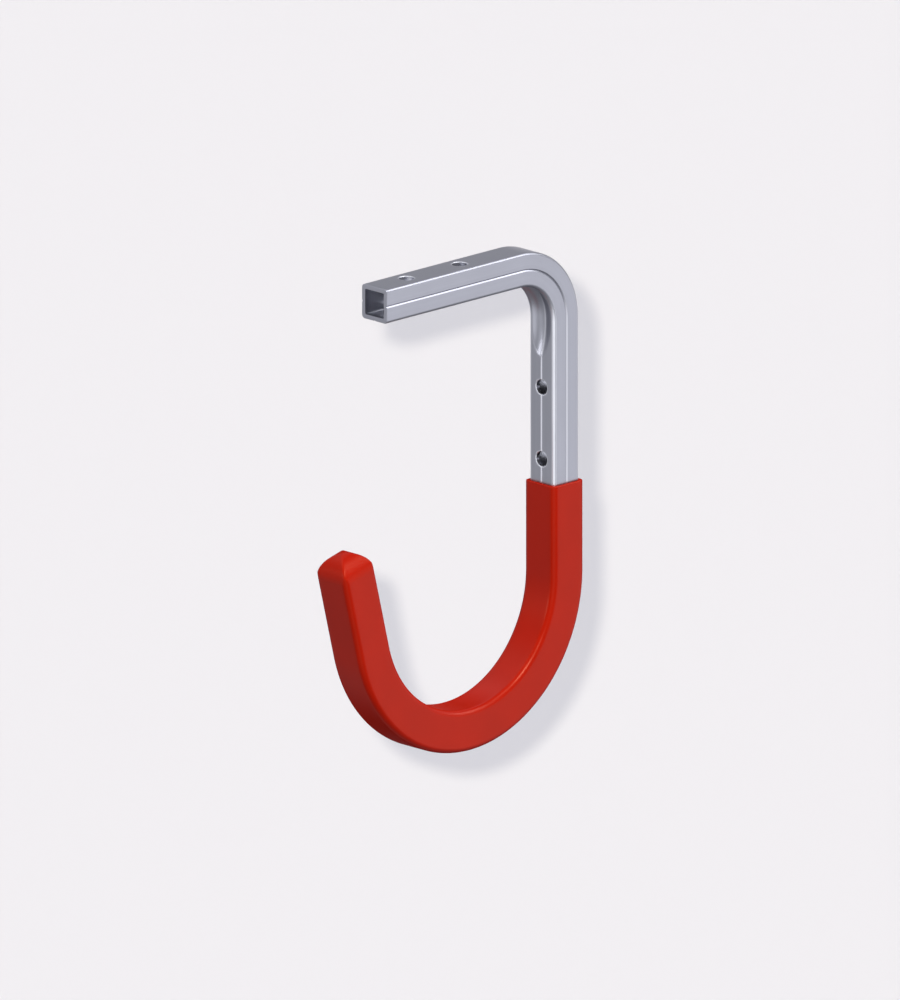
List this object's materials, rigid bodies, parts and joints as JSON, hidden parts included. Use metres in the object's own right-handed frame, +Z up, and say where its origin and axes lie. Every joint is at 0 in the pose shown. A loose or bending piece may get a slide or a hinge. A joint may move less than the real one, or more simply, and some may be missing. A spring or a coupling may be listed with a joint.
{
  "type": "utility hook",
  "caption": "Bent square aluminium tube with an open-ended arm, screw holes through the leg and the arm, and a U-shaped hook covered by a closed plastic grip sleeve.",
  "frame": {"origin": "midway between the two wall screw holes, on the tube's face that lies against the wall", "axes": "+Z up along the leg, +Y into the wall with the hook opening towards -Y, and +X across the tube"},
  "size_m": [0.014, 0.108, 0.1612],
  "materials": {
    "anodised_aluminium": "satin",
    "red_plastic": "semi-matte"
  },
  "bodies": {
    "root": {"hook_tube": "anodised_aluminium", "grip_sleeve": "red_plastic"}
  },
  "joints": []
}
